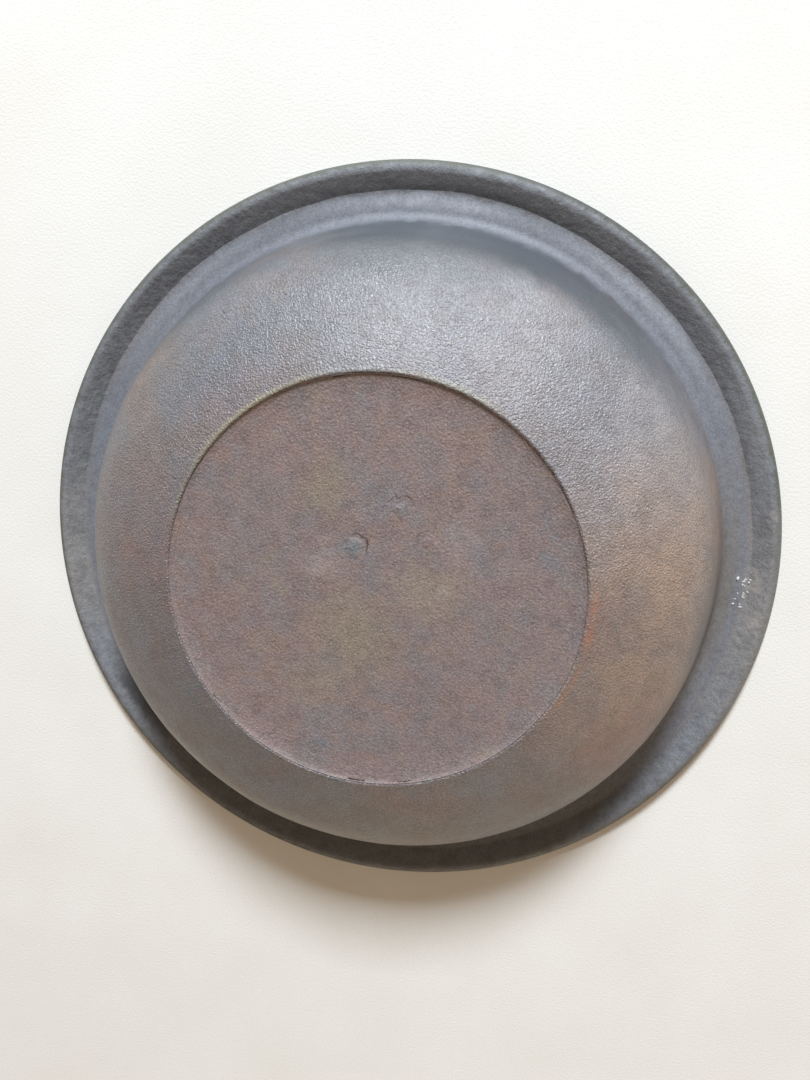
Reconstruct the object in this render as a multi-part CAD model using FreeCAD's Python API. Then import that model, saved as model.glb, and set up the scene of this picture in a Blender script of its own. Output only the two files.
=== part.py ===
import FreeCAD, Part

# Round iron pan, modelled lying mouth down with its base up.
# Units are millimetres. +Z is up, the mouth lies on Z = 0, and the Z axis is the axis of the pan.
# A "slope" is the angle of the outer surface below the horizontal, going outwards from the base.

import math
import os

from FreeCAD import Vector

# Bowl: one sheet, dished, flanged and rolled over a wire at its edge
RIM_RADIUS = 120.0  # outside of the rolled rim
SHEET = 1.5  # thickness of the bowl's sheet
FLANGE_WIDTH = 17.0  # from the outside of the rim to the foot of the wall
DOME_RUN = 43.9  # horizontal distance from the foot of the wall to the edge of the base opening
BASE_EDGE_HEIGHT = 52.1  # height of the outer edge of the base opening
BASE_EDGE_SLOPE = math.radians(20.0)
WALL_SLOPE = math.radians(74.0)
CROWN_RADIUS = 96.0  # round of the dome next to the base
SHOULDER_RADIUS = 36.0  # round between the dome and the wall
FOOT_RADIUS = 4.0  # hollow round between the wall and the flange

# Rim wire and the roll that holds it
WIRE_RADIUS = 1.0
LIP_WIDTH = 8.5  # from the outside of the rim to the seam, where the rolled edge comes down on the flange
SEAM_GAP = 0.1  # between the rolled edge and the flange
SEAM_EDGE = 0.25  # thickness of the rolled edge at the seam, where it is hammered thin

# Base plate, let into the opening from inside
PLATE = 1.8  # thickness
PLATE_LAP = 8.0  # width of the margin that lies against the inside of the bowl
BRAZE_LEG = 1.0  # width of the brazing metal in the corner at the plate's edge

# Patch behind the base plate, and the rivets that hold it
PATCH = 1.5  # thickness
PATCH_RADIUS = 20.0
PATCH_PLACE = (6.6, 15.8)  # centre, from the axis of the pan
RIVET_PLACES = ((-5.0, 11.5), (8.5, 22.5), (16.5, 13.5))
RIVET_RADIUS = 2.0  # shank
TAIL_RADIUS = 4.5  # hammered end on the outside of the base
TAIL_EDGE = 0.2  # thickness of the hammered end at its rim
TAIL_CROWN = 0.35  # rise of its middle above that
HEAD_RADIUS = 3.8  # round head inside the pan
HEAD_HEIGHT = 2.4

# Radii and heights that follow from the sizes above
WALL_FOOT_RADIUS = RIM_RADIUS - FLANGE_WIDTH
OPENING_RADIUS = WALL_FOOT_RADIUS - DOME_RUN
ROLL_RADIUS = WIRE_RADIUS + SHEET
WIRE_CENTRE = (RIM_RADIUS - ROLL_RADIUS, ROLL_RADIUS)
SEAM_RADIUS = RIM_RADIUS - LIP_WIDTH
CROWN_INSIDE = CROWN_RADIUS - SHEET


def polar(centre, radius, angle):
    """Point at a radius from a centre, at an angle above the outward horizontal."""
    return (centre[0] + radius * math.cos(angle), centre[1] + radius * math.sin(angle))


def facing(slope):
    """Angle above the outward horizontal in which the outer surface faces where it has that slope."""
    return math.pi / 2 - slope


CROWN_CENTRE = polar((OPENING_RADIUS, BASE_EDGE_HEIGHT), -CROWN_RADIUS, facing(BASE_EDGE_SLOPE))
# The plate's outer face is level with the lower corner of the opening.
PLATE_EDGE = polar(CROWN_CENTRE, CROWN_INSIDE, facing(BASE_EDGE_SLOPE))
PLATE_TOP = PLATE_EDGE[1]
PLATE_UNDERSIDE = PLATE_TOP - PLATE
PATCH_UNDERSIDE = PLATE_UNDERSIDE - PATCH


def shoulder_start():
    """Slope at which the crown's arc hands over to the shoulder's, so that the wall lands on its foot."""
    wall_to_edge = WALL_SLOPE - BASE_EDGE_SLOPE
    across = DOME_RUN * math.sin(WALL_SLOPE) - (BASE_EDGE_HEIGHT - SHEET) * math.cos(WALL_SLOPE)
    reach = CROWN_RADIUS * math.cos(wall_to_edge) - SHOULDER_RADIUS + across
    return WALL_SLOPE - math.acos(reach / (CROWN_RADIUS - SHOULDER_RADIUS))


def line(start, end):
    """Straight edge between two points of the section."""
    return Part.LineSegment(Vector(start[0], 0, start[1]), Vector(end[0], 0, end[1])).toShape()


def arc(centre, radius, first, last):
    """Round edge about a centre, between two angles above the outward horizontal."""
    circle = Part.Circle(Vector(centre[0], 0, centre[1]), Vector(0, -1, 0), radius)
    circle.XAxis = Vector(1, 0, 0)
    return Part.ArcOfCircle(circle, min(first, last), max(first, last)).toShape()


def touching_slope(corner, radius):
    """Slope at which a line rises outwards from a corner to touch the top of a circle about the wire."""
    run, rise = WIRE_CENTRE[0] - corner[0], WIRE_CENTRE[1] - corner[1]
    return math.atan2(rise, run) + math.asin(radius / math.hypot(run, rise))


def cap(radius, base, height):
    """Round edge of a dome on the Z axis, rising by a height from its base, or falling if it is negative."""
    ball = (radius**2 + height**2) / (2 * abs(height))
    side = math.copysign(1, height)
    centre = (0, base + height - side * ball)
    rim_angle = math.acos(radius / ball)
    return arc(centre, ball, side * rim_angle, side * math.pi / 2)


def turned(edges):
    """Solid made by turning a closed section once about the Z axis."""
    section = Part.Face(Part.Wire(Part.__sortEdges__(edges)))
    return section.revolve(Vector(0, 0, 0), Vector(0, 0, 1), 360)


def bowl_shell():
    """Dished sheet with an open base, a flat flange, and an edge rolled over the rim wire down to a seam."""
    start = facing(shoulder_start())
    edge = facing(BASE_EDGE_SLOPE)
    wall = facing(WALL_SLOPE)
    shoulder_centre = polar(CROWN_CENTRE, CROWN_RADIUS - SHOULDER_RADIUS, start)
    foot_end = WALL_FOOT_RADIUS + FOOT_RADIUS * math.tan(WALL_SLOPE / 2)
    foot_centre = (foot_end, SHEET + FOOT_RADIUS)
    below = -math.pi / 2
    seam_lower = (SEAM_RADIUS, SHEET + SEAM_GAP)
    seam_upper = (SEAM_RADIUS, SHEET + SEAM_GAP + SEAM_EDGE)

    edges = [
        line(polar(CROWN_CENTRE, CROWN_RADIUS, edge), PLATE_EDGE),
        line(seam_lower, seam_upper),
    ]
    for inset, seam in ((0.0, seam_lower), (SHEET, seam_upper)):
        shoulder = SHOULDER_RADIUS - inset
        foot = FOOT_RADIUS + inset
        flange = SHEET - inset
        roll = WIRE_RADIUS + inset
        roll_end = math.pi / 2 + touching_slope(seam, roll)
        edges += [
            arc(CROWN_CENTRE, CROWN_RADIUS - inset, edge, start),
            arc(shoulder_centre, shoulder, start, wall),
            line(polar(shoulder_centre, shoulder, wall), polar(foot_centre, -foot, wall)),
            arc(foot_centre, foot, wall + math.pi, 3 * math.pi / 2),
            line((foot_end, flange), (WIRE_CENTRE[0], flange)),
            arc(WIRE_CENTRE, roll, below, roll_end),
            line(polar(WIRE_CENTRE, roll, roll_end), seam),
        ]
    return turned(edges)


def rim_wire():
    """Round wire, bent to a hoop, that the edge of the bowl is rolled over."""
    return Part.makeTorus(WIRE_CENTRE[0], WIRE_RADIUS, Vector(0, 0, WIRE_CENTRE[1]), Vector(0, 0, 1))


def rivet_holes(top, bottom):
    """Solids that cut the rivet holes between two heights."""
    return [
        Part.makeCylinder(RIVET_RADIUS, top - bottom, Vector(x, y, bottom), Vector(0, 0, 1))
        for x, y in RIVET_PLACES
    ]


def base_plate():
    """Flat plate with a margin that follows the inside of the bowl around the opening."""
    inner = CROWN_INSIDE - PLATE
    edge = facing(BASE_EDGE_SLOPE)
    lap_end = edge - PLATE_LAP / CROWN_INSIDE
    # Where the underside of the margin meets the underside of the flat.
    bend = math.asin((CROWN_INSIDE * math.sin(edge) - PLATE) / inner)
    blank = turned([
        line((0, PLATE_UNDERSIDE), (0, PLATE_TOP)),
        line((0, PLATE_TOP), PLATE_EDGE),
        arc(CROWN_CENTRE, CROWN_INSIDE, edge, lap_end),
        line(polar(CROWN_CENTRE, CROWN_INSIDE, lap_end), polar(CROWN_CENTRE, inner, lap_end)),
        arc(CROWN_CENTRE, inner, lap_end, bend),
        line(polar(CROWN_CENTRE, inner, bend), (0, PLATE_UNDERSIDE)),
    ])
    return blank.cut(rivet_holes(PLATE_TOP, PLATE_UNDERSIDE))


def base_braze():
    """Ring of brazing metal, three-sided in section, in the corner of the plate and the opening."""
    on_plate = (PLATE_EDGE[0] - BRAZE_LEG, PLATE_TOP)
    on_bowl = polar(PLATE_EDGE, BRAZE_LEG, facing(BASE_EDGE_SLOPE))
    return turned([line(PLATE_EDGE, on_plate), line(on_plate, on_bowl), line(on_bowl, PLATE_EDGE)])


def inner_patch():
    """Small round plate against the inside of the base plate."""
    x, y = PATCH_PLACE
    blank = Part.makeCylinder(PATCH_RADIUS, PATCH, Vector(x, y, PATCH_UNDERSIDE), Vector(0, 0, 1))
    return blank.cut(rivet_holes(PLATE_UNDERSIDE, PATCH_UNDERSIDE))


def patch_rivet():
    """Rivet on the Z axis: round head inside, plain shank, low hammered end outside."""
    tail_side = PLATE_TOP + TAIL_EDGE
    return turned([
        line((0, PATCH_UNDERSIDE - HEAD_HEIGHT), (0, tail_side + TAIL_CROWN)),
        cap(TAIL_RADIUS, tail_side, TAIL_CROWN),
        line((TAIL_RADIUS, tail_side), (TAIL_RADIUS, PLATE_TOP)),
        line((TAIL_RADIUS, PLATE_TOP), (RIVET_RADIUS, PLATE_TOP)),
        line((RIVET_RADIUS, PLATE_TOP), (RIVET_RADIUS, PATCH_UNDERSIDE)),
        line((RIVET_RADIUS, PATCH_UNDERSIDE), (HEAD_RADIUS, PATCH_UNDERSIDE)),
        cap(HEAD_RADIUS, PATCH_UNDERSIDE, -HEAD_HEIGHT),
    ])


def patch_rivets():
    """The rivets, each a solid of its own."""
    rivet = patch_rivet()
    return Part.makeCompound([rivet.translated(Vector(x, y, 0)) for x, y in RIVET_PLACES])


os.makedirs("parts", exist_ok=True)
for make in (bowl_shell, rim_wire, base_plate, base_braze, inner_patch, patch_rivets):
    make().exportStep("parts/" + make.__name__ + ".step")
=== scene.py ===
import logging
import math
from dataclasses import dataclass, field
from enum import Enum
from functools import reduce

import bmesh
import bpy
import numpy as np
from mathutils import Matrix, Vector


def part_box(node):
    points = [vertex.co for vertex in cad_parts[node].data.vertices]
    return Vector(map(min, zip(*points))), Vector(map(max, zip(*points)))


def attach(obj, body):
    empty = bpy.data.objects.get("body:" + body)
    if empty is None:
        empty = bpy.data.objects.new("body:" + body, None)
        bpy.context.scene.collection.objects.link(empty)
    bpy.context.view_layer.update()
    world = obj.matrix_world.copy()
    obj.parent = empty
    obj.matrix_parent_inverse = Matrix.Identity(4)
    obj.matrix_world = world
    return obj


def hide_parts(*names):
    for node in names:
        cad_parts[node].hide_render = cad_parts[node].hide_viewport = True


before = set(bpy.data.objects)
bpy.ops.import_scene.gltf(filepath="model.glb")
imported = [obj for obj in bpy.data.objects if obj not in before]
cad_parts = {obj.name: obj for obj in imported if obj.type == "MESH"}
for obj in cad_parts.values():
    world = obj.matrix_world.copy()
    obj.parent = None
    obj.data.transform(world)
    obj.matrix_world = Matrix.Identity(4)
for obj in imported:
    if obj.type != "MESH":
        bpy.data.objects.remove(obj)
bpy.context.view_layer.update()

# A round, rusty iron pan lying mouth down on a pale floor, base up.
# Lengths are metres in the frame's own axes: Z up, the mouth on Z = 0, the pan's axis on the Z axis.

MM = 0.001
BAND_WANDER = 1.4  # how far the edges of a finish's rings and lines wander, in millimetres
FULL_TURN = 6.28  # radians
HIGHEST_NOISE = 0.8  # what a noise texture hardly ever passes, so that relief only sinks into the skin

MATH = "ShaderNodeMath"
VECTOR = "ShaderNodeVectorMath"
NOISE = "ShaderNodeTexNoise"
FADE = "ShaderNodeMapRange"
RANDOM = "FunctionNodeRandomValue"
NOISE_ROUGHNESS = 0.55

Point = tuple[float, float]
Socket = bpy.types.NodeSocket
Tree = bpy.types.NodeTree
Piece = bpy.types.Object
Material = bpy.types.Material
Settings = dict[str | int, object]
Links = dict[str | int, Socket]

log = logging.getLogger("pan")


# ---------------------------------------------------------------- colours and nodes


def linear(hex_colour: str) -> tuple[float, float, float, float]:
    """Turn an sRGB hex colour into the linear colour that a shader socket takes.

    Args:
        hex_colour: Six hex digits, with or without a leading #.

    Returns:
        Red, green, blue and alpha, from 0 to 1.
    """
    digits = hex_colour.lstrip("#")
    srgb = (int(digits[i : i + 2], 16) / 255 for i in (0, 2, 4))
    rgb = [c / 12.92 if c <= 0.04045 else ((c + 0.055) / 1.055) ** 2.4 for c in srgb]
    return (rgb[0], rgb[1], rgb[2], 1.0)


def add_node(tree: Tree, kind: str, settings: Settings | None = None, links: Links | None = None) -> bpy.types.Node:
    """Add a node to a tree.

    Args:
        tree: The tree that gets the node.
        kind: The node's type name.
        settings: Values for the node's own properties, or for its unlinked inputs by name or number.
        links: Output sockets for its inputs, by name or number.

    Returns:
        The new node.
    """
    made = tree.nodes.new(kind)
    for key, value in (settings or {}).items():
        if isinstance(key, str) and hasattr(made, key):
            setattr(made, key, value)
        else:
            made.inputs[key].default_value = value
    for key, socket in (links or {}).items():
        tree.links.new(socket, made.inputs[key])
    return made


# ---------------------------------------------------------------- patterns that the finishes share


@dataclass(frozen=True)
class Stain:
    """A soft round stain on the pan.

    Attributes:
        x: Place across the pan, in millimetres from its axis.
        y: Place along the pan, in millimetres from its axis.
        reach: Distance over which it fades out, in millimetres.
        strength: Its strength in the middle, from 0 to 1.
    """

    x: float
    y: float
    reach: float
    strength: float = 1.0


@dataclass
class Ground:
    """A finish's material, the places on the object that its patterns read, and what is laid on them.

    Attributes:
        name: The material's name.
        wander: How far a stain's edge wanders, and the size of a cell of that wander, in millimetres.
        wave: Size of a cell of the wander of a ring's edges, in millimetres.
    """

    name: str
    wander: float = 14.0
    wave: float = 4.5

    def __post_init__(self) -> None:
        """Make the material, and the sockets for place, flat place, radius, ragged place and wavy radius."""
        self.material = bpy.data.materials.new(self.name)
        self.material.use_nodes = True
        self.tree = tree = self.material.node_tree
        self.place = add_node(tree, "ShaderNodeTexCoord").outputs["Object"]
        flattened: Settings = {"operation": "MULTIPLY", 1: (1.0, 1.0, 0.0)}
        self.flat = add_node(tree, VECTOR, flattened, {0: self.place}).outputs[0]
        self.radius = add_node(tree, VECTOR, {"operation": "LENGTH"}, {0: self.flat}).outputs["Value"]
        drift = add_node(tree, NOISE, {"Scale": 1 / (self.wander * MM), "Detail": 4.0}, {"Vector": self.place})
        centred = add_node(tree, VECTOR, {"operation": "SUBTRACT", 1: (0.5, 0.5, 0.5)}, {0: drift.outputs[1]})
        reach = 2 * self.wander * MM
        scaled = add_node(tree, VECTOR, {"operation": "MULTIPLY", 1: (reach, reach, 0.0)}, {0: centred.outputs[0]})
        self.ragged = add_node(tree, VECTOR, {"operation": "ADD"}, {0: self.flat, 1: scaled.outputs[0]}).outputs[0]
        wave = add_node(tree, NOISE, {"Scale": 1 / (self.wave * MM), "Detail": 5.0}, {"Vector": self.place})
        centred = add_node(tree, MATH, {"operation": "SUBTRACT", 1: 0.5}, {0: wave.outputs[0]})
        waved: Settings = {"operation": "MULTIPLY_ADD", 1: 2 * BAND_WANDER * MM}
        self.wavy = add_node(tree, MATH, waved, {0: centred.outputs[0], 2: self.radius}).outputs[0]

    def cloudy(self, cell: float, low: float, high: float, detail: float, seed: float) -> Socket:
        """Lay a cloudy pattern with a real size, cut to run from 0 to 1.

        Args:
            cell: Size of one cell in millimetres; blotches lie about two cells apart.
            low: Noise value that becomes 0.
            high: Noise value that becomes 1.
            detail: Number of finer layers.
            seed: Which pattern of this kind.

        Returns:
            The pattern's value.
        """
        settings: Settings = {"noise_dimensions": "4D", "W": seed, "Scale": 1 / (cell * MM), "Detail": detail}
        settings["Roughness"] = NOISE_ROUGHNESS
        noise = add_node(self.tree, NOISE, settings, {"Vector": self.place})
        return add_node(self.tree, FADE, {"From Min": low, "From Max": high}, {"Value": noise.outputs[0]}).outputs[0]

    def joined(self, rule: str, *masks: Socket | float) -> Socket:
        """Join masks and numbers into one mask, kept between 0 and 1.

        Args:
            rule: How they are joined, as an operation of a Math node.
            masks: Sockets or numbers.

        Returns:
            The mask.
        """
        settings: Settings = {"operation": rule, "use_clamp": True}
        settings.update({i: v for i, v in enumerate(masks) if isinstance(v, float)})
        links: Links = {i: v for i, v in enumerate(masks) if not isinstance(v, float)}
        return add_node(self.tree, MATH, settings, links).outputs[0]

    def share(self, *masks: Socket | float) -> Socket:
        """Multiply masks and numbers together."""
        return reduce(lambda under, over: self.joined("MULTIPLY", under, over), masks)

    def fade(self, value: Socket, start: float, end: float, at_start: float = 0.0, at_end: float = 1.0) -> Socket:
        """Run softly from one value to another between two distances.

        Args:
            value: Distance in metres.
            start: Distance in millimetres where the run begins.
            end: Distance in millimetres where it ends.
            at_start: Value at and before the start.
            at_end: Value at and after the end.

        Returns:
            The value.
        """
        settings: Settings = {
            "interpolation_type": "SMOOTHSTEP", "From Min": start * MM, "From Max": end * MM,
            "To Min": at_start, "To Max": at_end,
        }
        return add_node(self.tree, FADE, settings, {"Value": value}).outputs[0]

    def band(self, inner: float, outer: float, soft: float) -> Socket:
        """Mask of a ring about the axis, by its two radii and half the width of its soft edges, in millimetres."""
        risen = self.fade(self.wavy, inner - soft, inner + soft)
        return self.share(risen, self.fade(self.wavy, outer - soft, outer + soft, 1.0, 0.0))

    def away(self, x: float, y: float, place: Socket) -> Socket:
        """Distance in metres from a spot of the pan, whose place is in millimetres."""
        settings: Settings = {"operation": "DISTANCE", 1: (x * MM, y * MM, 0.0)}
        return add_node(self.tree, VECTOR, settings, {0: place}).outputs["Value"]

    def stained(self, stains: tuple[Stain, ...]) -> Socket:
        """Join several stains into one mask, which has the strongest stain's strength at each point."""
        masks = [self.fade(self.away(s.x, s.y, self.ragged), 0.0, s.reach, s.strength, 0.0) for s in stains]
        return reduce(lambda under, over: self.joined("MAXIMUM", under, over), masks)

    def shade_arc(self, x: float, y: float, radius: float, width: float, aim: float) -> Socket:
        """Mask of a thin curved line of painted shade on one side of a spot.

        Args:
            x: Place of the spot across the pan, in millimetres.
            y: Place of the spot along the pan, in millimetres.
            radius: Distance of the line from the spot, in millimetres.
            width: Width of the line, in millimetres.
            aim: Side of the spot that it lies on, in degrees from X.

        Returns:
            1 on the line and 0 away from it.
        """
        waved: Settings = {"operation": "MULTIPLY_ADD", 1: BAND_WANDER * MM}
        wave = self.cloudy(cell=1.6, low=0.3, high=0.7, detail=2.0, seed=71.0)
        wavy = add_node(self.tree, MATH, waved, {0: wave, 2: self.away(x, y, self.flat)}).outputs[0]
        line = self.share(
            self.fade(wavy, radius, radius + 0.5 * width),
            self.fade(wavy, radius + 0.5 * width, radius + 1.5 * width, 1.0, 0.0),
        )
        half_length = 1.1  # radians
        far, off, turn = radius * math.cos(half_length), 3 * radius, math.radians(aim)
        from_side = self.away(x + off * math.cos(turn), y + off * math.sin(turn), self.flat)
        return self.share(line, self.fade(from_side, off - far - 1.0, off - 0.3 * far, 1.0, 0.0))

    def layered(self, under: str, films: list[tuple[str, Socket]]) -> Socket:
        """Lay coloured films over a colour.

        Args:
            under: Hex colour of what lies under them.
            films: Hex colour and mask of each film, from the lowest up.

        Returns:
            The finished colour.
        """
        colour: Socket | None = None
        for hex_colour, mask in films:
            settings: Settings = {"data_type": "RGBA", 7: linear(hex_colour)}
            links: Links = {0: mask}
            if colour is None:
                settings[6] = linear(under)
            else:
                links[6] = colour
            colour = add_node(self.tree, "ShaderNodeMix", settings, links).outputs[2]
        return colour

    def grain(self, height: Socket, depth: float, under: Socket | None = None) -> Socket:
        """Raise a pattern as fine relief of a depth in millimetres, over any coarser relief; gives the normal."""
        links: Links = {"Height": height} if under is None else {"Height": height, "Normal": under}
        return add_node(self.tree, "ShaderNodeBump", {"Strength": 1.0, "Distance": depth * MM}, links).outputs[0]

    def dressed(self, sockets: dict[str, Socket], numbers: dict[str, float]) -> Material:
        """Put patterns and uniform numbers on the surface shader.

        Args:
            sockets: What drives its inputs, by name.
            numbers: Values that are the same all over, by name.

        Returns:
            The material.
        """
        shader = self.tree.nodes["Principled BSDF"]
        for name, socket in sockets.items():
            self.tree.links.new(socket, shader.inputs[name])
        for name, number in numbers.items():
            shader.inputs[name].default_value = number
        return self.material


# ---------------------------------------------------------------- finishes


@dataclass(frozen=True)
class ScaledSheetIron:
    """Old dished sheet iron: dark blue-grey forge scale, pitted like orange peel, under films of brown rust."""

    scale: str = "#72777f"
    brown: str = "#7f7270"
    tan: str = "#ab9281"
    red: str = "#956f66"
    olive: str = "#8b867d"
    blue: str = "#6f7584"
    pale: str = "#979499"
    orange: str = "#ab7760"
    # Slate colour of painted shade on the wall and the shoulder.
    slate_shade: str = "#353f48"
    flange: str = "#7d828c"
    # Chalky bloom on the flange, also painted light on the lip's shaded inner slope.
    chalk_and_painted_light: str = "#b4b8c2"
    # Pale sage of painted light on the shoulder's side away from the window.
    sage: str = "#a09b8f"
    sooty: str = "#5a504e"
    lip: str = "#7b7f85"
    worn: str = "#8f8d8d"
    edge: str = "#535549"
    # Dark dirt, also used as painted shade in the seam, at the crescent and on the rim's edge.
    grime_and_shade: str = "#26222a"
    fringe: str = "#958f7c"
    beige: str = "#7b7874"
    glint: str = "#b9aea4"
    peel: float = 0.56
    bared: tuple[Stain, ...] = (Stain(5, 84, 66, 0.9), Stain(-46, 62, 40, 0.7), Stain(62, 52, 42, 0.6))
    tanned: tuple[Stain, ...] = (Stain(84, 8, 46), Stain(78, -34, 42, 0.95), Stain(-78, 62, 26, 0.45))
    reddened: tuple[Stain, ...] = (
        Stain(72, -46, 28, 0.9), Stain(-66, 12, 30, 0.6), Stain(61, -8, 13, 0.9), Stain(-40, 50, 18, 0.45),
        Stain(12, -66, 16, 0.5),
    )
    greened: tuple[Stain, ...] = (Stain(0, -98, 52, 0.8), Stain(-72, -72, 42, 0.7), Stain(60, -84, 40, 0.6))
    blued: tuple[Stain, ...] = (Stain(-44, 66, 26, 0.6), Stain(-72, 20, 16, 0.5))
    # Paler scale and a painted highlight on the crown, on the window side.
    pale_and_highlight: tuple[Stain, ...] = (Stain(72, 36, 40), Stain(38, 62, 40, 0.8), Stain(10, 66, 36, 0.7))
    # Where the painted shade on the wall lies, strongest on the window side.
    wall_shade: tuple[Stain, ...] = (
        Stain(40, 90, 110), Stain(0, 98, 50), Stain(100, -10, 50, 0.5), Stain(-60, 80, 70, 0.7),
        Stain(-96, 18, 50, 0.4),
    )
    bloomed: tuple[Stain, ...] = (Stain(76, 84, 60, 0.9), Stain(10, 110, 60), Stain(-66, 84, 50, 0.5))
    # Where the dome's painted shadow on the flange starts, to the lower left.
    crescent_shadow: tuple[Stain, ...] = (Stain(-97, -57, 22),)
    limed: tuple[Stain, ...] = (Stain(111, -8, 8.0), Stain(113, -19.5, 4.5, 0.9), Stain(116.5, 13, 3.0, 0.8))
    fringed: tuple[Stain, ...] = (Stain(-36, 48, 44, 0.8), Stain(20, 56, 30, 0.5))
    streaked: tuple[Stain, ...] = (Stain(61, -7, 18), Stain(57, -24, 14, 0.8))
    # Where the painted shade on the shoulder lies, on the window side.
    shoulder_shade: tuple[Stain, ...] = (Stain(2, 92, 46), Stain(-68, 62, 36, 0.6))
    # Where the painted light on the shoulder lies, away from the window.
    fill_side: tuple[Stain, ...] = (Stain(-40, -86, 80),)
    smudged: tuple[Stain, ...] = (Stain(104, -14, 60, 0.9), Stain(0, -104, 90, 0.9), Stain(-104, -20, 50, 0.5))
    # Side where the lip's inner slope turns from the window and lies in shade.
    lip_shade_side: tuple[Stain, ...] = (Stain(20, 110, 120), Stain(105, 40, 40, 0.6))
    rubbed: tuple[Stain, ...] = (Stain(118, -22, 46), Stain(-118, -8, 40, 0.9))
    handled: tuple[Stain, ...] = (Stain(114, -30, 70),)
    # Dirt and painted shade on the rim's outer edge, at the top and at the bottom.
    soiled_and_shaded: tuple[Stain, ...] = (Stain(60, 100, 70, 0.8), Stain(-50, -105, 60))

    def material(self) -> Material:
        """Build the material: its colour changes with rust and dirt and carries painted shade, painted light and a
        painted highlight; its gloss is that of a hard oxide skin.
        """
        ground = Ground("scaled_sheet_iron")
        share, band, stained = ground.share, ground.band, ground.stained
        cloud = ground.cloudy(16.0, 0.36, 0.60, 6.0, 1.0)
        blotch = ground.cloudy(4.5, 0.38, 0.64, 5.0, 2.0)
        mottle = ground.cloudy(2.2, 0.40, 0.62, 5.0, 5.0)
        speck = ground.cloudy(0.55, 0.42, 0.62, 2.0, 3.0)
        grit = ground.cloudy(0.5, 0.50, 0.66, 2.0, 8.0)
        fleck = ground.cloudy(1.6, 0.60, 0.72, 2.0, 4.0)
        smear = ground.cloudy(5.0, 0.46, 0.62, 6.0, 9.0)
        warm = stained(self.tanned)
        covered = ground.joined("SUBTRACT", cloud, stained(self.bared))
        flange = band(102.5, 110.6, 1.2)
        bloom = band(106.8, 110.4, 1.8)
        lip = band(111.0, 124.0, 1.0)
        seam = band(110.8, 115.6, 1.4)
        rim = band(118.4, 124.0, 0.8)
        uneven = ground.joined("MULTIPLY_ADD", blotch, 0.7, 0.25)
        films = [
            (self.brown, ground.joined("MULTIPLY_ADD", covered, 0.8, 0.15)),
            # Paler scale and a painted highlight: the crown lighter and bluer on the window side.
            (self.pale, stained(self.pale_and_highlight)),
            (self.tan, share(warm, ground.joined("MULTIPLY_ADD", cloud, 0.35, 0.7))),
            (self.olive, share(stained(self.greened), uneven)),
            (self.red, share(stained(self.reddened), uneven)),
            (self.blue, share(stained(self.blued), blotch)),
            # Painted light: the shoulder paler on its side away from the window.
            (self.sage, share(band(86.0, 97.0, 4.0), stained(self.fill_side), 0.7)),
            (self.sooty, share(smear, 0.24)),
            (self.grime_and_shade, share(speck, 0.24)),
            (self.glint, share(grit, 0.30)),
            (self.orange, share(fleck, warm, 0.4)),
            # Painted shade: slate over the shoulder and the wall, strongest on the window side.
            (self.slate_shade, share(band(85.0, 95.0, 4.0), stained(self.shoulder_shade), 0.4)),
            (self.slate_shade, share(band(93.0, 103.6, 3.4), stained(self.wall_shade), 0.85)),
            (self.flange, share(flange, 0.85)),
            (self.beige, share(band(102.5, 107.5, 1.2), stained(self.smudged))),
            (self.chalk_and_painted_light, share(bloom, ground.joined("MULTIPLY_ADD", mottle, 0.6, 0.4), stained(self.bloomed))),
            (self.grime_and_shade, share(flange, mottle, 0.16)),
            (self.grime_and_shade, share(flange, speck, 0.25)),
            (self.lip, share(lip, 0.9)),
            (self.worn, share(lip, stained(self.rubbed))),
            # Dirt and painted shade: the seam darkened on the side where the lip turns from the window.
            (self.grime_and_shade, share(seam, ground.joined("MULTIPLY_ADD", mottle, 0.18, 0.04), stained(self.lip_shade_side))),
            # Painted shadow: the dome's crescent shadow on the flange carried further round to the lower left.
            (self.grime_and_shade, share(band(110.2, 114.6, 1.2), stained(self.crescent_shadow), 0.7)),
            (self.grime_and_shade, share(lip, speck, 0.25)),
            (self.grime_and_shade, share(lip, smear, 0.20)),
            (self.fringe, share(band(57.0, 60.6, 0.8), stained(self.fringed))),
            (self.orange, share(band(60.2, 61.6, 0.9), stained(self.streaked), uneven)),
            (self.glint, share(mottle, stained(self.limed), 0.6)),
            # Painted light: the lip's inner slope lightened on the side where it turns from the window.
            (self.chalk_and_painted_light, share(band(113.2, 116.8, 1.6), stained(self.lip_shade_side), 0.42)),
            (self.edge, share(rim, 0.8)),
            (self.worn, share(rim, stained(self.handled), 0.7)),
            # Dirt and painted shade: the rim's outer edge darkened at the top and at the bottom.
            (self.grime_and_shade, share(rim, stained(self.soiled_and_shaded), 0.55)),
        ]
        dull = add_node(ground.tree, FADE, {"To Min": 0.30, "To Max": 0.44}, {"Value": cloud})
        duller = ground.joined("MAXIMUM", dull.outputs[0], ground.fade(ground.radius, 92.0, 99.0, 0.0, 0.62))
        on_dome = ground.fade(ground.radius, 90.0, 99.0, 1.0, 0.12)
        peel = ground.cloudy(self.peel, 0.30, 0.70, 1.5, 6.0)
        fine = ground.cloudy(0.35, 0.30, 0.70, 2.0, 7.0)
        bent = ground.grain(share(peel, on_dome), 0.22)
        bent = ground.grain(share(mottle, lip), 0.12, bent)
        bent = ground.grain(fine, 0.02, bent)
        colour = ground.layered(self.scale, films)
        return ground.dressed({"Base Color": colour, "Roughness": duller, "Normal": bent}, {"IOR": 1.65})


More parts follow.
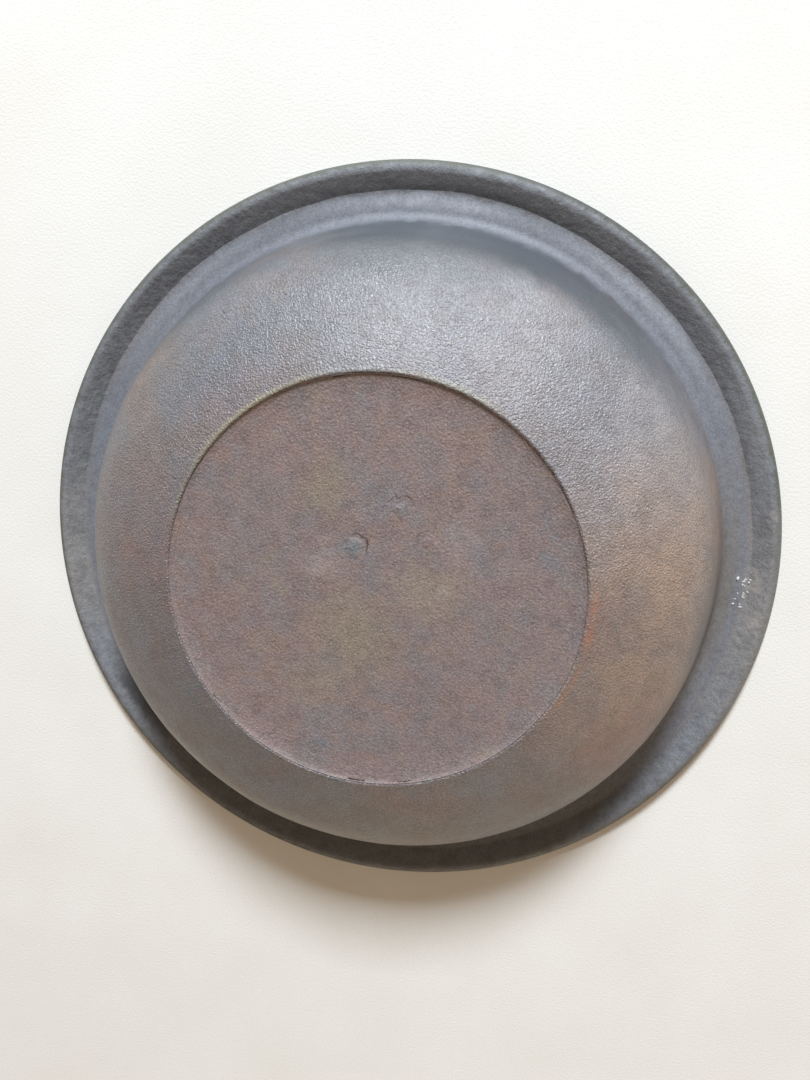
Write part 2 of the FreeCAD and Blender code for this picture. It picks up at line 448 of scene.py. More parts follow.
@dataclass(frozen=True)
class RustedIron:
    """Iron with an even skin of old mauve-brown rust, gritty to the touch, with faint stains.

    The disc, its rivets and its brazing all wear the same skin, so one build serves the three; the brazing adds
    brass where it has been rubbed.
    """

    brown: str = "#877878"
    red: str = "#927970"
    ochre: str = "#918472"
    blue: str = "#777a82"
    # Dark rust specks, also painted shade at the recess edge and beside the rivets.
    dark: str = "#443c3d"
    pale: str = "#b8ada9"
    orange: str = "#a37a63"
    bare: str = "#778188"
    brass: str = "#a18e88"
    reddened: tuple[Stain, ...] = (
        Stain(24, 36, 30, 0.5), Stain(-24, 36, 26, 0.4), Stain(-10, -36, 14),
        Stain(-30, -22, 18, 0.8), Stain(-44, -2, 16, 0.5),
    )
    smeared: tuple[Stain, ...] = (Stain(-15, 7, 9, 0.8), Stain(24, 14, 9, 0.7), Stain(18, 0, 12, 0.5))
    yellowed: tuple[Stain, ...] = (
        Stain(-4, -14, 20), Stain(-12, 28, 12, 0.9), Stain(16, 0, 14, 0.9), Stain(-16, -30, 12, 0.7),
    )
    blued: tuple[Stain, ...] = (
        Stain(-14, -46, 15, 0.9), Stain(12, -40, 16, 0.5), Stain(-38, 20, 14, 0.5), Stain(49, 12, 11, 0.9),
        Stain(2, 30, 12, 0.6), Stain(32, 10, 10, 0.4),
    )
    bared: tuple[Stain, ...] = (Stain(-4.5, 11.3, 5.0), Stain(8.5, 21, 4.5, 0.45))
    rubbed: tuple[Stain, ...] = (Stain(-40, -42, 50, 0.7), Stain(10, -58, 46, 0.7), Stain(56, -16, 20, 0.4))
    # Where the painted shadow of the recess edge lies, on the window side.
    recess_shadow: tuple[Stain, ...] = (Stain(30, 55, 75, 0.9),)

    def material(self, name: str, brassy: float = 0.0) -> Material:
        """Build the material: dull, mottled brown, with bare metal on one rivet and painted shade at the recess edge
        and beside the rivets.

        Args:
            name: The material's name.
            brassy: How far brass shows through it where it has been rubbed.

        Returns:
            The material.
        """
        ground = Ground(name, 9.0)
        share, stained = ground.share, ground.stained
        cloud = ground.cloudy(9.0, 0.38, 0.62, 5.0, 11.0)
        blotch = ground.cloudy(5.0, 0.40, 0.64, 5.0, 12.0)
        other = ground.cloudy(6.0, 0.45, 0.66, 5.0, 13.0)
        speck = ground.cloudy(0.6, 0.44, 0.62, 2.5, 14.0)
        light = ground.cloudy(0.5, 0.50, 0.66, 2.0, 15.0)
        scurf = ground.cloudy(3.5, 0.46, 0.62, 6.0, 19.0)
        fleck = ground.cloudy(1.8, 0.66, 0.74, 2.0, 16.0)
        fleck_zone = ground.joined("MULTIPLY_ADD", stained((Stain(-6, 52, 16),)), 0.8, 0.2)
        films = [
            (self.red, share(cloud, 0.45)),
            (self.ochre, share(ground.joined("SUBTRACT", blotch, cloud), 0.45)),
            (self.red, share(stained(self.reddened), ground.joined("MULTIPLY_ADD", blotch, 0.6, 0.3))),
            (self.blue, share(other, 0.5)),
            (self.ochre, share(stained(self.yellowed), 0.8)),
            (self.blue, share(stained(self.blued), blotch)),
            (self.pale, share(stained(self.smeared), 0.35)),
            (self.orange, share(fleck, fleck_zone, 0.8)),
            (self.bare, stained(self.bared)),
            (self.dark, share(scurf, 0.22)),
            (self.dark, share(speck, 0.26)),
            (self.pale, share(light, 0.32)),
            # Painted shadow: the disc's margin darkened under the recess edge, on the window side.
            (self.dark, share(ground.band(57.4, 60.4, 1.0), stained(self.recess_shadow), 0.2)),
            # Painted shade: thin dark arcs at the edges of the rivets.
            (self.dark, share(ground.shade_arc(8.5, 22.5, 4.2, 0.5, 95.0), 0.8)),
            (self.dark, share(ground.shade_arc(-5.0, 11.5, 4.2, 0.7, 35.0), 0.9)),
            (self.dark, share(ground.shade_arc(16.5, 13.5, 4.0, 0.6, 150.0), 0.4)),
        ]
        if brassy:
            films.append((self.brass, share(stained(self.rubbed), brassy)))
        dull = add_node(ground.tree, FADE, {"To Min": 0.50, "To Max": 0.62}, {"Value": blotch})
        coarse = ground.cloudy(0.62, 0.30, 0.70, 1.0, 17.0)
        fine = ground.cloudy(0.3, 0.30, 0.70, 2.0, 18.0)
        bent = ground.grain(coarse, 0.12)
        bent = ground.grain(fine, 0.02, bent)
        colour = ground.layered(self.brown, films)
        return ground.dressed({"Base Color": colour, "Roughness": dull.outputs[0], "Normal": bent}, {"IOR": 1.5})


@dataclass(frozen=True)
class DrawnWire:
    """Drawn steel wire, dull grey with rust spots."""

    steel: str = "#8c8c8b"
    rust: str = "#75503c"

    def material(self) -> Material:
        """Build the material: grey metal, spotted."""
        ground = Ground("drawn_steel_wire")
        spots = ground.cloudy(4.0, 0.5, 0.62, 4.0, 41.0)
        sockets = {"Base Color": ground.layered(self.steel, [(self.rust, spots)]), "Normal": ground.grain(spots, 0.05)}
        return ground.dressed(sockets, {"Metallic": 0.8, "Roughness": 0.45})


@dataclass(frozen=True)
class LimeSpeck:
    """Dried lime water: chalky white grains."""

    white: str = "#d9dcd8"
    grey: str = "#9a9c9b"

    def material(self) -> Material:
        """Build the material: matt white, greyer in places."""
        ground = Ground("lime_speck")
        dirt = ground.cloudy(0.8, 0.4, 0.6, 2.0, 51.0)
        return ground.dressed({"Base Color": ground.layered(self.white, [(self.grey, dirt)])}, {"Roughness": 0.8})


@dataclass(frozen=True)
class PaleFloor:
    """Plain matt floor, a warm off-white with a barely visible tooth."""

    pale: str = "#f2f1ee"
    warm: str = "#edebe6"

    def material(self) -> Material:
        """Build the material: off-white with a faint cloudiness."""
        ground = Ground("pale_matt_floor")
        colour = ground.layered(self.pale, [(self.warm, ground.cloudy(40.0, 0.3, 0.7, 5.0, 61.0))])
        tooth = ground.grain(ground.cloudy(0.8, 0.3, 0.7, 2.0, 62.0), 0.05)
        return ground.dressed({"Base Color": colour, "Normal": tooth}, {"Roughness": 0.85})


# ---------------------------------------------------------------- shapes


class Skin(Enum):
    """How much of the relief a stretch of surface takes."""

    PEEL = 1.0
    WORN = 0.35
    HIDDEN = 0.0


@dataclass
class Section:
    """A section that is turned about the Z axis, as points of radius, height and share of relief."""

    points: list[tuple[float, float, float]] = field(default_factory=list)

    def line(self, start: Point, end: Point, step: float, skin: Skin = Skin.HIDDEN) -> None:
        """Add a straight stretch, without its last point.

        Args:
            start: Radius and height of its start.
            end: Radius and height of its end.
            step: Longest distance between two points.
            skin: Relief on it.
        """
        count = max(1, math.ceil(math.dist(start, end) / step))
        for i in range(count):
            t = i / count
            point = (start[0] + t * (end[0] - start[0]), start[1] + t * (end[1] - start[1]))
            self.points.append((*point, skin.value))

    def arc(
        self, centre: Point, radius: float, first: float, last: float, step: float, skin: Skin = Skin.HIDDEN
    ) -> None:
        """Add a round stretch, without its last point.

        Args:
            centre: Radius and height of its centre.
            radius: Its own radius.
            first: Angle of its start above the outward horizontal.
            last: Angle of its end.
            step: Longest distance between two points.
            skin: Relief on it.
        """
        count = max(2, math.ceil(abs(last - first) * radius / step))
        for i in range(count):
            self.points.append((*polar(centre, radius, first + (last - first) * i / count), skin.value))

    def hollow(self, start: Point, leave: float, end: Point, arrive: float, steps: int, skin: Skin) -> None:
        """Add a curve that runs from one slope into another, without its last point.

        Args:
            start: First point.
            leave: Slope at the first point, in radians.
            end: Last point.
            arrive: Slope at the last point, in radians.
            steps: Number of points.
            skin: Kind of skin on it.
        """
        run, rise = end[0] - start[0], end[1] - start[1]
        reach = (run * math.sin(arrive) - rise * math.cos(arrive)) / math.sin(arrive - leave)
        pull = polar(start, reach, leave)
        for i in range(steps):
            t = i / steps
            self.points.append((*(
                (1 - t) ** 2 * a + 2 * t * (1 - t) * b + t**2 * c for a, b, c in zip(start, pull, end)
            ), skin.value))

    def turned(self, name: str, around: int, closed: bool, centre: Point = (0.0, 0.0)) -> Piece:
        """Turn the section once about a vertical line.

        Args:
            name: The object's name.
            around: Number of steps around.
            closed: True for a ring, whose section ends where it starts, and False where both ends are on the line.
            centre: Where the line stands.

        Returns:
            The object, at the origin, with its faces outwards.
        """
        sweep = np.linspace(0.0, 2 * math.pi, around, endpoint=False)
        poles = [] if closed else [self.points[0], self.points[-1]]
        rows = np.array(self.points if closed else self.points[1:-1])
        x = np.outer(rows[:, 0], np.cos(sweep)) + centre[0]
        y = np.outer(rows[:, 0], np.sin(sweep)) + centre[1]
        z = np.repeat(rows[:, 1:2], around, axis=1)
        verts = np.stack([x, y, z], axis=2).reshape(-1, 3).tolist()
        relief = np.repeat(rows[:, 2], around).tolist()
        count = len(rows)
        faces = []
        for i in range(count if closed else count - 1):
            low, high = i * around, (i + 1) % count * around
            faces += [(low + j, low + (j + 1) % around, high + (j + 1) % around, high + j) for j in range(around)]
        for row, pole in zip((0, count - 1), poles):
            tip = len(verts)
            verts.append((*centre, pole[1]))
            relief.append(pole[2])
            faces += [(row * around + j, row * around + (j + 1) % around, tip) for j in range(around)]
        mesh = bpy.data.meshes.new(name)
        mesh.from_pydata(verts, [], faces)
        shape = bmesh.new()
        shape.from_mesh(mesh)
        bmesh.ops.remove_doubles(shape, verts=shape.verts, dist=1e-7)
        bmesh.ops.recalc_face_normals(shape, faces=shape.faces)
        shape.to_mesh(mesh)
        shape.free()
        if len(mesh.vertices) == len(relief):
            mesh.attributes.new("relief", "FLOAT", "POINT").data.foreach_set("value", relief)
        mesh.shade_smooth()
        return linked(name, mesh)


def linked(name: str, data: bpy.types.ID) -> Piece:
    """Make an object of a mesh, a light or a camera and link it into the scene."""
    made = bpy.data.objects.new(name, data)
    bpy.context.scene.collection.objects.link(made)
    return made


def polar(centre: Point, radius: float, angle: float) -> Point:
    """Point of a section at a radius from a centre, at an angle above the outward horizontal."""
    return (centre[0] + radius * math.cos(angle), centre[1] + radius * math.sin(angle))


# ---------------------------------------------------------------- Geometry Nodes


def geometry_tree(name: str, inputs: dict[str, str]) -> tuple[Tree, bpy.types.bpy_prop_collection]:
    """Start a Geometry Nodes tree.

    Args:
        name: The tree's name.
        inputs: Name and kind of each input after the geometry.

    Returns:
        The tree and what it is given, by name.
    """
    tree = bpy.data.node_groups.new(name, "GeometryNodeTree")
    for label, kind in {"Geometry": "Geometry", **inputs}.items():
        tree.interface.new_socket(name=label, in_out="INPUT", socket_type="NodeSocket" + kind)
    tree.interface.new_socket(name="Geometry", in_out="OUTPUT", socket_type="NodeSocketGeometry")
    return tree, tree.nodes.new("NodeGroupInput").outputs


def finish_tree(tree: Tree, geometry: Socket, finish: Socket) -> Tree:
    """End a tree with Realize Instances and Set Material.

    Args:
        tree: The tree.
        geometry: What it has made.
        finish: The material that it sets.

    Returns:
        The tree.
    """
    real = add_node(tree, "GeometryNodeRealizeInstances", None, {"Geometry": geometry})
    dressed = add_node(tree, "GeometryNodeSetMaterial", None, {"Geometry": real.outputs[0], "Material": finish})
    add_node(tree, "NodeGroupOutput", None, {"Geometry": dressed.outputs[0]})
    return tree


def relief_tree() -> Tree:
    """Build the tree that gives a skin its real unevenness: broad dents and a coarser peel.

    Returns:
        The tree, with the inputs Dent depth, Dent spread, Peel depth, Peel spread, Seed and Finish.
    """
    numbers = dict.fromkeys(("Dent depth", "Dent spread", "Peel depth", "Peel spread", "Seed"), "Float")
    tree, given = geometry_tree("uneven_skin", {**numbers, "Finish": "Material"})
    place = tree.nodes.new("GeometryNodeInputPosition").outputs[0]
    heights = []
    for layer, detail in (("Dent", 1.0), ("Peel", 2.0)):
        scale = add_node(tree, MATH, {"operation": "DIVIDE", 0: 1.0}, {1: given[layer + " spread"]}).outputs[0]
        links: Links = {"Vector": place, "W": given["Seed"], "Scale": scale}
        noise = add_node(tree, NOISE, {"noise_dimensions": "4D", "Detail": detail}, links)
        sunk = add_node(tree, MATH, {"operation": "SUBTRACT", 1: HIGHEST_NOISE}, {0: noise.outputs[0]})
        links = {0: sunk.outputs[0], 1: given[layer + " depth"]}
        heights.append(add_node(tree, MATH, {"operation": "MULTIPLY"}, links).outputs[0])
    total = add_node(tree, MATH, {"operation": "ADD"}, dict(enumerate(heights)))
    share = add_node(tree, "GeometryNodeInputNamedAttribute", {"data_type": "FLOAT", "Name": "relief"})
    masked = add_node(tree, MATH, {"operation": "MULTIPLY"}, {0: total.outputs[0], 1: share.outputs[0]})
    normal = tree.nodes.new("GeometryNodeInputNormal").outputs[0]
    offset = add_node(tree, VECTOR, {"operation": "SCALE"}, {0: normal, "Scale": masked.outputs[0]})
    links = {"Geometry": given["Geometry"], "Offset": offset.outputs[0]}
    moved = add_node(tree, "GeometryNodeSetPosition", None, links)
    return finish_tree(tree, moved.outputs[0], given["Finish"])


def rivet_tree() -> Tree:
    """Build the tree that sets one rivet at each point, each turned differently.

    Returns:
        The tree, with the inputs Rivet, Turn, Seed and Finish.
    """
    inputs = {"Rivet": "Object", "Turn": "Float", "Seed": "Int", "Finish": "Material"}
    tree, given = geometry_tree("set_rivets", inputs)
    points = add_node(tree, "GeometryNodeMeshToPoints", None, {"Mesh": given["Geometry"]})
    rivet = add_node(tree, "GeometryNodeObjectInfo", {"As Instance": True}, {"Object": given["Rivet"]})
    turn = add_node(tree, RANDOM, {"data_type": "FLOAT"}, {3: given["Turn"], "Seed": given["Seed"]})
    angles = add_node(tree, "ShaderNodeCombineXYZ", None, {"Z": turn.outputs[1]}).outputs[0]
    links: Links = {"Points": points.outputs[0], "Instance": rivet.outputs["Geometry"], "Rotation": angles}
    placed = add_node(tree, "GeometryNodeInstanceOnPoints", None, links)
    return finish_tree(tree, placed.outputs[0], given["Finish"])


def speck_tree() -> Tree:
    """Build the tree that strews flat grains over a patch of surface and leaves the patch itself out.

    Returns:
        The tree, with the inputs Density, Smallest, Largest, Seed and Finish.
    """
    numbers = dict.fromkeys(("Density", "Smallest", "Largest"), "Float")
    tree, given = geometry_tree("strewn_specks", {**numbers, "Seed": "Int", "Finish": "Material"})
    links: Links = {"Mesh": given["Geometry"], "Density": given["Density"], "Seed": given["Seed"]}
    points = add_node(tree, "GeometryNodeDistributePointsOnFaces", None, links)
    grain = add_node(tree, "GeometryNodeMeshIcoSphere", {"Radius": 1.0, "Subdivisions": 2})
    flat = add_node(tree, "GeometryNodeTransform", {"Scale": (1.0, 0.6, 0.3)}, {"Geometry": grain.outputs[0]})
    links = {2: given["Smallest"], 3: given["Largest"], "Seed": given["Seed"]}
    size = add_node(tree, RANDOM, {"data_type": "FLOAT"}, links)
    tilted: Settings = {"data_type": "FLOAT_VECTOR", 0: (-0.3, -0.3, 0.0), 1: (0.3, 0.3, FULL_TURN)}
    turn = add_node(tree, RANDOM, tilted, {"Seed": given["Seed"]}).outputs[0]
    links = {"Points": points.outputs[0], "Instance": flat.outputs[0], "Rotation": turn, "Scale": size.outputs[1]}
    placed = add_node(tree, "GeometryNodeInstanceOnPoints", None, links)
    return finish_tree(tree, placed.outputs[0], given["Finish"])


def grown(source: Piece, tree: Tree, values: dict[str, object]) -> Piece:
    """Run a Geometry Nodes tree on an object and keep the result as plain mesh.

    Args:
        source: The object, whose mesh is replaced.
        tree: The tree.
        values: The tree's inputs by name.

    Returns:
        The same object with its new mesh and no modifier.
    """
    modifier = source.modifiers.new(tree.name, "NODES")
    modifier.node_group = tree
    for item in tree.interface.items_tree:
        if item.in_out == "INPUT" and item.name in values:
            modifier[item.identifier] = values[item.name]
    bpy.context.view_layer.update()
    evaluated = source.evaluated_get(bpy.context.evaluated_depsgraph_get())
    mesh = bpy.data.meshes.new_from_object(evaluated)
    source.modifiers.remove(modifier)
    source.data = mesh
    mesh.name = source.name
    mesh.shade_smooth()
    return source


# ---------------------------------------------------------------- the pan


@dataclass(frozen=True)
class Relief:
    """Real unevenness of a skin, in millimetres, with its seed."""

    dent_depth: float
    dent_spread: float
    peel_depth: float
    peel_spread: float
    seed: float

    def lay(self, piece: Piece, tree: Tree, finish: Material) -> None:
        """Give a piece this unevenness and its material, by the relief tree."""
        grown(piece, tree, {
            "Dent depth": self.dent_depth * MM, "Dent spread": self.dent_spread * MM,
            "Peel depth": self.peel_depth * MM, "Peel spread": self.peel_spread * MM,
            "Seed": self.seed, "Finish": finish,
        })


@dataclass
class PanSizes:
    """Sizes that the pieces share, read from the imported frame, with the rounds that a box can't tell."""

    flange_width: float = 17.0 * MM
    lip_width: float = 8.5 * MM
    seam_gap: float = -0.08 * MM
    seam_edge: float = 0.10 * MM
    lip_start: float = math.radians(20.0)
    lip_end: float = math.radians(34.0)
    base_slope: float = math.radians(20.0)
    wall_slope: float = math.radians(74.0)
    crown_radius: float = 96.0 * MM
    shoulder_radius: float = 36.0 * MM
    foot_radius: float = 4.0 * MM
    corner: float = 1.1 * MM

    def __post_init__(self) -> None:
        """Read the boxes of the frame's nodes and work out what follows from them."""
        bowl_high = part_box("bowl_shell")[1]
        wire_low, wire_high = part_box("rim_wire")
        self.rim_radius = min(bowl_high.x, bowl_high.y)
        self.edge_height = bowl_high.z
        self.sheet = wire_low.z
        self.wire_radius = (wire_high.z - wire_low.z) / 2
        self.roll_radius = self.wire_radius + self.sheet
        self.wire_centre = (self.rim_radius - self.roll_radius, self.roll_radius)
        self.wall_foot = self.rim_radius - self.flange_width
        self.foot_end = self.wall_foot + self.foot_radius * math.tan(self.wall_slope / 2)
        self.seam_lower = (self.rim_radius - self.lip_width, self.sheet + self.seam_gap)
        self.seam_upper = (self.seam_lower[0], self.seam_lower[1] + self.seam_edge)
        self.plate_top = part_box("base_plate")[1].z
        self.opening = self.opening_radius()
        drop = self.edge_height - self.plate_top
        self.plate_edge = (self.opening - drop * math.tan(self.base_slope), self.plate_top)
        edge = self.facing(self.base_slope)
        self.crown_centre = polar((self.opening, self.edge_height), -self.crown_radius, edge)
        self.dome_run = self.wall_foot - self.opening

    @staticmethod
    def facing(slope: float) -> float:
        """Angle above the outward horizontal in which a surface of that slope faces."""
        return math.pi / 2 - slope

    def opening_radius(self) -> float:
        """Radius of the upper corner of the base opening, measured on the bowl's own mesh."""
        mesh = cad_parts["bowl_shell"].data
        top = [v.co for v in mesh.vertices if v.co.z > self.edge_height - 1e-6]
        return max(math.hypot(co.x, co.y) for co in top)

    def shoulder_start(self) -> float:
        """Slope at which the crown's round hands over to the shoulder's."""
        across = self.dome_run * math.sin(self.wall_slope)
        across -= (self.edge_height - self.sheet) * math.cos(self.wall_slope)
        reach = self.crown_radius * math.cos(self.wall_slope - self.base_slope) - self.shoulder_radius + across
        return self.wall_slope - math.acos(reach / (self.crown_radius - self.shoulder_radius))

    def touching_slope(self, corner: Point, radius: float) -> float:
        """Slope at which a line rises outwards from a corner to touch the top of a circle about the wire."""
        run, rise = self.wire_centre[0] - corner[0], self.wire_centre[1] - corner[1]
        return math.atan2(rise, run) + math.asin(radius / math.hypot(run, rise))


@dataclass
class Bowl:
    """The dished sheet: dome, wall, flange, and the edge rolled over the rim wire down to a seam."""

    sizes: PanSizes
    relief: Tree
    around: int = 480
    fine_step: float = 0.85 * MM
    roll_step: float = 0.55 * MM
    inside_step: float = 3.0 * MM
    seam_wander: float = 0.14 * MM
    seam_reach: float = 2.5 * MM
    waves: tuple[tuple[float, int, int], ...] = ((1.0, 5, 1), (0.7, 14, 2), (0.5, 37, 0))
    skin: Relief = Relief(0.40, 20, 0.10, 1.3, 4.0)

    def section(self) -> Section:
        """Lay out the section, from the base opening down the outside, round the roll and back up the inside."""
        s = self.sizes
        edge, wall = s.facing(s.base_slope), s.facing(s.wall_slope)
        start = s.facing(s.shoulder_start())
        shoulder_centre = polar(s.crown_centre, s.crown_radius - s.shoulder_radius, start)
        foot_centre = (s.foot_end, s.sheet + s.foot_radius)
        below, foot_bottom = -math.pi / 2, 3 * math.pi / 2
        made = Section()

        def dome(inset: float, step: float, skin: Skin, outwards: bool) -> None:
            """Add dome, wall and foot, either down the outside or up the inside."""
            crown, shoulder = s.crown_radius - inset, s.shoulder_radius - inset
            foot = s.foot_radius + inset
            wall_ends = (polar(shoulder_centre, shoulder, wall), polar(foot_centre, -foot, wall))
            if outwards:
                made.arc(s.crown_centre, crown, edge - s.corner / crown, start, step, skin)
                made.arc(shoulder_centre, shoulder, start, wall, step, skin)
                made.line(*wall_ends, step, skin)
                made.arc(foot_centre, foot, wall + math.pi, foot_bottom, step / 2, Skin.WORN)
            else:
                made.arc(foot_centre, foot, foot_bottom, wall + math.pi, step / 2, skin)
                made.line(*reversed(wall_ends), step, skin)
                made.arc(shoulder_centre, shoulder, wall, start, step, skin)
                made.arc(s.crown_centre, crown, start, edge, step, skin)

        dome(0.0, self.fine_step, Skin.PEEL, True)
        before_seam = (s.seam_lower[0] - self.seam_reach / 2, s.sheet)
        made.line((s.foot_end, s.sheet), before_seam, self.fine_step, Skin.WORN)
        made.line(before_seam, (s.wire_centre[0], s.sheet), self.fine_step)
        inner_end = math.pi / 2 + s.touching_slope(s.seam_lower, s.wire_radius)
        outer_end = math.pi / 2 + s.lip_end
        made.arc(s.wire_centre, s.wire_radius, below, inner_end, self.roll_step)
        made.line(polar(s.wire_centre, s.wire_radius, inner_end), s.seam_lower, self.roll_step)
        made.line(s.seam_lower, s.seam_upper, self.roll_step)
        on_roll = polar(s.wire_centre, s.roll_radius, outer_end)
        made.hollow(s.seam_upper, s.lip_start, on_roll, s.lip_end, 8, Skin.WORN)
        made.arc(s.wire_centre, s.roll_radius, outer_end, math.pi / 4, self.roll_step, Skin.WORN)
        made.arc(s.wire_centre, s.roll_radius, math.pi / 4, below, self.roll_step)
        made.line((s.wire_centre[0], 0.0), (s.foot_end, 0.0), self.inside_step)
        dome(s.sheet, self.inside_step, Skin.HIDDEN, False)

        round_centre = polar(s.crown_centre, s.crown_radius - s.corner, edge - s.corner / s.crown_radius)
        round_start = polar(round_centre, s.corner, edge + math.pi / 2)
        made.line(s.plate_edge, round_start, self.roll_step)
        made.arc(round_centre, s.corner, edge + math.pi / 2, edge, s.corner / 3, Skin.WORN)
        return made

    def wander(self, bowl: Piece) -> None:
        """Let the edge of the lip wander in and out along the seam, as hammered sheet does."""
        seam = self.sizes.seam_lower
        for vertex in bowl.data.vertices:
            x, y, z = vertex.co
            radius = math.hypot(x, y)
            beyond = (radius - seam[0]) / self.seam_reach
            if z > seam[1] - 1e-6 and -1e-3 < beyond < 1:
                turn = math.atan2(y, x)
                wave = sum(height * math.sin(count * turn + start) for height, count, start in self.waves)
                scale = 1 + self.seam_wander * wave * (1 - beyond) / radius
                vertex.co = (x * scale, y * scale, z)

    def build(self, finish: Material) -> Piece:
        """Make the bowl and stand it in for its CAD node.

        Args:
            finish: The bowl's material.

        Returns:
            The bowl.
        """
        bowl = self.section().turned("bowl", self.around, True)
        self.wander(bowl)
        self.skin.lay(bowl, self.relief, finish)
        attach(bowl, "root")
        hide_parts("bowl_shell")
        return bowl


@dataclass
class RimWire:
    """The hoop of wire inside the roll."""

    sizes: PanSizes
    relief: Tree
    around: int = 240
    step: float = 0.5 * MM
    skin: Relief = Relief(0.0, 20, 0.0, 4, 0.0)

    def build(self, finish: Material) -> Piece:
        """Make the hoop and stand it in for its CAD node."""
        made = Section()
        made.arc(self.sizes.wire_centre, self.sizes.wire_radius, 0.0, 2 * math.pi, self.step)
        wire = made.turned("wire_hoop", self.around, True)
        self.skin.lay(wire, self.relief, finish)
        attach(wire, "root")
        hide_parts("rim_wire")
        return wire


@dataclass
class Base:
    """The plate that closes the base, its brazing, the patch behind it and the rivets."""

    sizes: PanSizes
    relief: Tree
    rivets: Tree
    around: int = 420
    step: float = 0.75 * MM
    lap: float = 8.0 * MM
    edge_round: float = 0.4 * MM
    edge_lift: float = 0.75 * MM
    lift_width: float = 7.0 * MM
    braze_width: float = 1.4 * MM
    braze_height: float = 1.1 * MM
    braze_sink: float = 0.35 * MM
    braze_root: Point = (0.2 * MM, 0.1 * MM)
    braze_foot_slope: float = math.radians(16.0)
    shank_radius: float = 2.0 * MM
    head_radius: float = 3.8 * MM
    tail_feather: float = 0.25 * MM
    sinks: tuple[float, ...] = (0.0, 0.10 * MM, 0.22 * MM)
    plate_skin: Relief = Relief(0.35, 16, 0.10, 1.5, 9.0)
    braze_skin: Relief = Relief(0.25, 6, 0.15, 1.5, 2.0)
    patch_skin: Relief = Relief(0.3, 6, 0.1, 1.5, 5.0)
    rivet_skin: Relief = Relief(0.80, 3.0, 0.35, 1.0, 6.0)

    def plate(self, finish: Material) -> Piece:
        """Make the plate with its margin and stand it in for its CAD node."""
        s = self.sizes
        low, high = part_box("inner_patch")[1].z, s.plate_top
        inside = s.crown_radius - s.sheet
        inner = inside - (high - low)
        edge = s.facing(s.base_slope)
        lap_end = edge - self.lap / inside
        bend = math.asin((inside * math.sin(edge) - (high - low)) / inner)
        made = Section()
        lifted = polar(s.plate_edge, self.edge_lift, edge)
        lift_start = (lifted[0] - self.lift_width, high)
        made.line((0.0, high), lift_start, self.step, Skin.PEEL)
        made.hollow(lift_start, 0.0, lifted, 2 * self.edge_lift / self.lift_width, 10, Skin.PEEL)
        made.line(lifted, s.plate_edge, self.edge_lift)
        made.arc(s.crown_centre, inside, edge, lap_end, 2 * self.step)
        lap_edge = (polar(s.crown_centre, inside, lap_end), polar(s.crown_centre, inner, lap_end))
        made.line(*lap_edge, self.step)
        made.arc(s.crown_centre, inner, lap_end, bend, 2 * self.step)
        made.line(polar(s.crown_centre, inner, bend), (0.0, low), 4 * self.step)
        made.points.append((0.0, low, 0.0))
        plate = made.turned("base_disc", self.around, False)
        self.plate_skin.lay(plate, self.relief, finish)
        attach(plate, "root")
        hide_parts("base_plate")
        return plate

    def braze(self, finish: Material) -> Piece:
        """Make the hollow-faced ring of brazing metal and stand it in for its CAD node."""
        s = self.sizes
        x, top = polar(s.plate_edge, self.edge_lift, s.facing(s.base_slope))
        on_bowl = polar(s.plate_edge, self.braze_height, s.facing(s.base_slope))
        on_plate = (x - self.braze_width, top - self.braze_sink)
        root = (x + self.braze_root[0], on_plate[1] - self.braze_root[1])
        made = Section()
        made.line(root, (on_plate[0], root[1]), 2 * MM)
        made.line((on_plate[0], root[1]), on_plate, MM)
        made.hollow(on_plate, self.braze_foot_slope, on_bowl, s.facing(s.base_slope) - 0.1, 8, Skin.PEEL)
        made.line(on_bowl, root, 2 * MM)
        braze = made.turned("braze_ring", self.around, True)
        self.braze_skin.lay(braze, self.relief, finish)
        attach(braze, "root")
        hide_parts("base_braze")
        return braze

    def patch(self, finish: Material) -> Piece:
        """Make the patch inside the pan, with its cut edge rounded, and stand it in for its CAD node."""
        low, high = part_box("inner_patch")
        centre = ((low.x + high.x) / 2, (low.y + high.y) / 2)
        radius, r = (high.x - low.x) / 2, self.edge_round
        made = Section()
        made.line((0.0, high.z), (radius - r, high.z), 2 * self.step)
        made.arc((radius - r, high.z - r), r, math.pi / 2, 0.0, r)
        made.line((radius, high.z - r), (radius, low.z + r), r)
        made.arc((radius - r, low.z + r), r, 0.0, -math.pi / 2, r)
        made.line((radius - r, low.z), (0.0, low.z), self.step, Skin.WORN)
        made.points.append((0.0, low.z, Skin.WORN.value))
        patch = made.turned("patch_disc", 160, False, centre)
        self.patch_skin.lay(patch, self.relief, finish)
        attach(patch, "root")
        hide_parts("inner_patch")
        return patch

    def rivet_places(self) -> list[Vector]:
        """Tops of the rivets' hammered ends, found on the CAD node's own mesh, from the lowest X up."""
        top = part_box("patch_rivets")[1].z
        places: list[Vector] = []
        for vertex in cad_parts["patch_rivets"].data.vertices:
            apart = all((vertex.co - p).length > MM for p in places)
            if vertex.co.z > top - 1e-6 and apart:
                places.append(vertex.co.copy())
        return sorted(places, key=lambda p: p.x)

